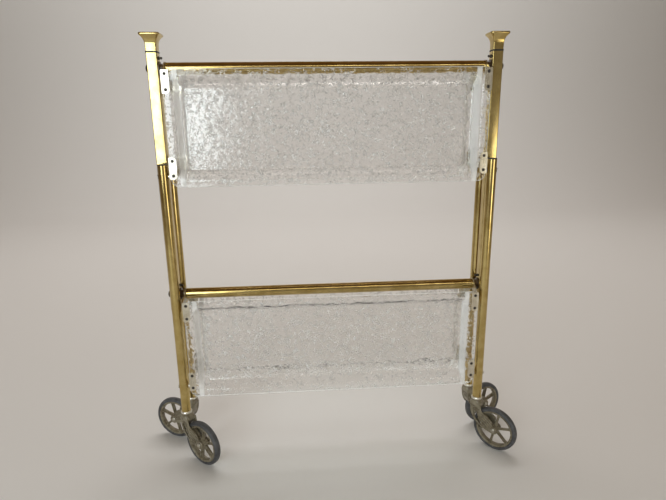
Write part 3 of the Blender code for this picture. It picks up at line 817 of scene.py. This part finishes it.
def rib(path, side, width):
    """A raised rounded rib along a path on a fork's cheek."""
    points = smooth_path(path, 8)
    rings = []
    for i, point in enumerate(points):
        tangent = (points[min(i + 1, len(points) - 1)] - points[max(i - 1, 0)]).normalized()
        across = Vector((-tangent.y, tangent.x))
        near_end = min(i, len(points) - 1 - i)
        half = width / 2 * (0.55 if near_end == 0 else 0.85 if near_end == 1 else 1.0)
        section = ((-half, CHEEK_OUT - 0.0006), (-half * 0.92, FORK_HALF - 0.0006), (-half * 0.45, FORK_HALF),
                   (half * 0.45, FORK_HALF), (half * 0.92, FORK_HALF - 0.0006), (half, CHEEK_OUT - 0.0006))
        rings.append([(point.x + across.x * a, side * y, point.y + across.y * a) for a, y in section])
    return lofted(rings)


def make_fork(name, place, body):
    outline = [tuple(p) for p in smooth_path(NECK, 4)]
    outline += arc((TRAIL, WHEEL_R), 0.0093, -120.0, 105.0, 26)
    outline += [tuple(p) for p in smooth_path(BACK, 4)]
    pocket = [tuple(p) for p in smooth_path(HAIRPIN[1:-2], 5)]
    parts = []
    for side in (-1, 1):
        near, far = sorted((side * CHEEK_IN, side * CHEEK_OUT))
        cheek = slab(outline, near, far)
        parts.append(combined(cheek, slab(pocket, near - 0.001, far + 0.001), "DIFFERENCE"))
        parts.append(rib(HAIRPIN, side, 0.0022))
        parts += [rib(path, side, 0.0019) for path in RIBS]
        parts.append(rib(BACK, side, 0.0017))
        boss = [(0.0060, CHEEK_OUT - 0.0006), (0.0092, CHEEK_OUT - 0.0004), (0.0090, FORK_HALF - 0.0008),
                (0.0084, FORK_HALF - 0.0002), (0.0062, FORK_HALF - 0.0001), (0.0056, FORK_HALF - 0.0008),
                (0.0030, FORK_HALF - 0.0008), (0.0030, CHEEK_OUT - 0.0006)]
        turn = Matrix.Translation((TRAIL, 0.0, WHEEL_R)) @ Matrix.Rotation(side * -math.pi / 2, 4, "X")
        parts.append(turned(boss, 36, turn, True))
    cheeks = joined(parts)

    crown = []
    for least_x, greatest_x, half_y, round_by, z in CROWN:
        outline = rounded_rectangle((greatest_x - least_x) / 2, half_y, round_by, 5)
        crown.append([(x + (greatest_x + least_x) / 2, y, z) for x, y in outline])
    web = [[(-0.0098, y, 0.0950), (-0.0070, y, 0.0770), (-0.0040, y, 0.0680), (0.0010, y, 0.0615),
            (0.0140, y, 0.0950)] for y in (-CHEEK_IN, CHEEK_IN)]
    slot = turned([(0.0, 0.02), (SLOT_R, 0.02), (SLOT_R, -0.02), (0.0, -0.02)], 96,
                  Matrix.Translation((TRAIL, 0.0, WHEEL_R)) @ Matrix.Rotation(math.pi / 2, 4, "X"))
    mesh = joined([cheeks, lofted(crown), combined(lofted(web), slot, "DIFFERENCE")])
    mesh.materials.clear()
    mesh.transform(place)
    obj = piece(name + "_fork_arms", mesh, LOOKS["champagne"], body,
                (name + "_fork",), sharp=32.0)
    bevel(obj, 0.0004, 2, 50.0)


def make_axle(name, place, body):
    head = FORK_HALF + 0.0002
    profile = [(0.0, head + 0.0019), (0.0022, head + 0.0017), (0.0038, head + 0.0011),
               (0.0046, head + 0.0003), (0.0046, head), (0.0026, head), (0.0026, -head), (0.0046, -head),
               (0.0046, -head - 0.0003), (0.0038, -head - 0.0011), (0.0022, -head - 0.0017),
               (0.0, -head - 0.0019)]
    turn = Matrix.Translation((TRAIL, 0.0, WHEEL_R)) @ Matrix.Rotation(math.pi / 2, 4, "X")
    mesh = turned(profile, 32, place @ turn)
    piece(name + "_axle_bolt", mesh, LOOKS["steel"], body, (name + "_axle",))


def spoke_mesh(angle):
    """A flat bar that widens at both ends, with a thin rib standing on both faces."""
    steps = ((0.0070, 0.0040), (0.0095, 0.0033), (0.0130, 0.0027), (0.0190, 0.0024), (0.0270, 0.0024),
             (0.0320, 0.0028), (0.0348, 0.0037), (0.0370, 0.0048))
    bar = []
    web = []
    for r, half in steps:
        outline = rounded_rectangle(half, 0.0017, 0.0006, 3)
        bar.append([(x, y, r) for x, y in outline])
        outline = rounded_rectangle(0.0008 + (half - 0.0024) * 0.35, RIM_HALF - 0.0012, 0.0006, 3)
        web.append([(x, y, r) for x, y in outline])
    mesh = joined([lofted(bar), lofted(web)])
    mesh.transform(Matrix.Rotation(math.radians(angle), 4, "Y"))
    return mesh


def make_wheel(name, place, body):
    spin = Matrix.Rotation(math.pi / 2, 4, "X")
    hub_place = place @ Matrix.Translation((TRAIL, 0.0, WHEEL_R))
    band = [(RIM_R, RIM_HALF - 0.0006), (RIM_R - 0.0006, RIM_HALF), (RIM_R - 0.0024, RIM_HALF + 0.0001),
            (RIM_R - 0.0036, RIM_HALF - 0.0004), (RIM_R - 0.0043, RIM_HALF - 0.0014),
            (RIM_R - 0.0050, RIM_HALF - 0.0036), (RIM_R - 0.0052, 0.0)]
    band += [(r, -y) for r, y in reversed(band[:-1])]
    hub = [(HUB_R, HUB_HALF - 0.0026), (HUB_R - 0.0004, HUB_HALF - 0.0020), (0.0068, HUB_HALF - 0.0018),
           (0.0066, HUB_HALF - 0.0004), (0.0062, HUB_HALF), (0.0032, HUB_HALF)]
    hub = [(r, -y) for r, y in reversed(hub)] + hub
    meshes = [turned(band, 96, spin, True), turned(hub, 48, spin, True)]
    meshes += [spoke_mesh(360 / SPOKES * i + SPOKE_TURN) for i in range(SPOKES)]
    rim = joined(meshes)
    rim.transform(hub_place)
    piece(name + "_rim_spokes", rim, LOOKS["champagne"], body, (name + "_rim",))

    tread = [(RIM_R + 0.0002, 0.0058), (0.0414, 0.0066), (0.0420, 0.0067), (0.0424, TYRE_HALF),
             (0.0431, TYRE_HALF), (0.0435, 0.0066), (0.0450, 0.0063), (0.0464, 0.0054), (0.0474, 0.0040),
             (0.0479, 0.0022), (WHEEL_R, 0.0004)]
    profile = tread + [(r, -y) for r, y in reversed(tread)]
    tyre = turned(profile, 112, hub_place @ spin, True)
    piece(name + "_tyre_ring", tyre, LOOKS["rubber"], body, (name + "_tyre",))


def make_caster(end_name, side_name):
    key = end_name + "_" + side_name
    name = key + "_caster"
    leg = centre(key + "_leg")
    hub = centre(name + "_axle")
    angle = math.atan2(hub.y - leg.y, hub.x - leg.x)
    place = Matrix.Translation((leg.x, leg.y, 0.0)) @ Matrix.Rotation(angle, 4, "Z")
    make_fork(name, place, key + "_swivel")
    make_axle(name, place, key + "_swivel")
    make_wheel(name, place, key + "_wheel")


# ---------------------------------------------------------------- studio and camera
def make_world():
    """Studio surroundings: pale behind the trolley, warm overhead and dim behind the camera."""
    world = bpy.data.worlds.new("studio")
    world.use_nodes = True
    nodes = world.node_tree.nodes
    links = world.node_tree.links
    coordinates = nodes.new("ShaderNodeTexCoord")
    split = nodes.new("ShaderNodeSeparateXYZ")
    links.new(coordinates.outputs["Generated"], split.inputs["Vector"])

    def ramp(socket, stops):
        spread = nodes.new("ShaderNodeMapRange")
        spread.inputs["From Min"].default_value = -1.0
        links.new(socket, spread.inputs["Value"])
        node = nodes.new("ShaderNodeValToRGB")
        set_stops(node.color_ramp, stops)
        links.new(spread.outputs["Result"], node.inputs["Fac"])
        return node.outputs["Color"]

    around = ramp(split.outputs["Y"], ((0.0, (0.26, 0.24, 0.21)), (0.30, (0.20, 0.18, 0.155)),
                                       (0.60, (0.34, 0.33, 0.32)), (0.95, (0.50, 0.49, 0.48))))
    upward = ramp(split.outputs["Z"], ((0.48, (1.0, 1.0, 1.0)), (0.62, (0.80, 0.77, 0.73)),
                                       (0.78, (0.50, 0.36, 0.22)), (0.97, (0.52, 0.31, 0.14))))
    product = nodes.new("ShaderNodeMix")
    product.data_type = "RGBA"
    product.blend_type = "MULTIPLY"
    product.inputs["Factor"].default_value = 1.0
    links.new(around, product.inputs["A"])
    links.new(upward, product.inputs["B"])
    links.new(product.outputs["Result"], nodes["Background"].inputs["Color"])
    bpy.context.scene.world = world


def make_backdrop():
    """A pale sweep: the floor runs back from the trolley and curves up into a wall."""
    half = 12.0
    bend = 1.5
    foot = 2.6
    line = [(-6.0, 0.0)]
    line += [(foot + y, bend + z) for y, z in arc((0.0, 0.0), bend, -90.0, 0.0, 24)]
    line.append((foot + bend, 3.4))
    verts = [(side * half, y, z) for y, z in line for side in (-1, 1)]
    faces = [(2 * i, 2 * i + 1, 2 * i + 3, 2 * i + 2) for i in range(len(line) - 1)]
    mesh = bpy.data.meshes.new("backdrop")
    mesh.from_pydata(verts, [], faces)
    mesh.shade_smooth()
    look = Look("backdrop_look", (0.74, 0.735, 0.72), 0.85)
    mesh.materials.append(look.material)
    obj = bpy.data.objects.new("studio_backdrop", mesh)
    bpy.context.scene.collection.objects.link(obj)


def make_light(name, place, target, size, power, color, mirrored=True):
    light = bpy.data.lights.new(name, "AREA")
    light.shape = "RECTANGLE"
    light.size, light.size_y = size
    light.energy = power
    light.color = color
    obj = bpy.data.objects.new(name, light)
    obj.visible_glossy = mirrored
    obj.location = place
    obj.rotation_mode = "QUATERNION"
    obj.rotation_quaternion = (Vector(target) - Vector(place)).to_track_quat("-Z", "Y")
    bpy.context.scene.collection.objects.link(obj)


def make_camera():
    location = Vector((-0.0606, MIDDLE_Y - 0.9908, 0.6995))
    yaw = math.radians(3.717)
    pitch = math.radians(14.494)
    roll = math.radians(-0.804)
    forward = Vector((math.sin(yaw) * math.cos(pitch), math.cos(yaw) * math.cos(pitch), -math.sin(pitch)))
    level_right = Vector((math.cos(yaw), -math.sin(yaw), 0.0))
    level_up = level_right.cross(forward)
    right = level_right * math.cos(roll) + level_up * math.sin(roll)
    up = level_up * math.cos(roll) - level_right * math.sin(roll)
    rotation = Matrix((right, up, -forward)).transposed().to_4x4()
    data = bpy.data.cameras.new("camera")
    data.sensor_width = 36.0
    data.lens = 27.03
    camera = bpy.data.objects.new("camera", data)
    camera.matrix_world = Matrix.Translation(location) @ rotation
    bpy.context.scene.collection.objects.link(camera)
    bpy.context.scene.camera = camera


# ---------------------------------------------------------------- assembly
def build():
    for side_name, side in SIDES:
        make_post(side_name)
        make_knob(side_name)
        make_post_foot(side_name)
        for tier in TIERS:
            make_hinge_bolt(tier, side_name, side)
            make_stud(tier, side_name, side)
    for tier in TIERS:
        make_cross_tube(tier)
    seed = 0.0
    for end_name, end in ENDS:
        for tier in TIERS:
            seed += 3.7
            body = end_name + "_" + tier + "_shelf"
            make_tray(end_name + "_" + tier + "_tray", end, body, seed, *TRAY_RELIEF[tier])
            for side_name, side in SIDES:
                for kind in BRACKETS:
                    make_bracket(tier, end_name, end, side_name, side, kind, body)
        for side_name, side in SIDES:
            make_leg(end_name, side_name)
            make_caster(end_name, side_name)
            for tier in TIERS:
                make_rivet(end_name, side_name, side, tier)


make_camera()
make_world()
make_backdrop()
make_light("window", (-1.05, -2.0, 0.95), (-0.25, 0.0, 0.65), (1.0, 1.1), 19.5, (0.87, 0.97, 1.0))
make_light("side", (1.45, -1.75, 0.32), (0.2, 0.0, 0.45), (0.75, 0.6), 4.6, (1.0, 0.97, 0.84))
make_light("strip", (0.25, -2.3, 2.05), (0.1, 0.0, 0.6), (2.6, 0.22), 7.0, (1.0, 0.95, 0.86))
make_light("backdrop", (0.0, 1.6, 3.3), (0.0, 3.6, 0.2), (4.0, 1.2), 64.0, (1.0, 0.98, 0.965), False)
make_light("floor", (0.0, 1.3, 3.6), (0.0, 1.0, 0.0), (3.0, 1.8), 22.0, (1.0, 0.98, 0.965), False)
build()
bpy.context.scene.view_settings.view_transform = "Standard"
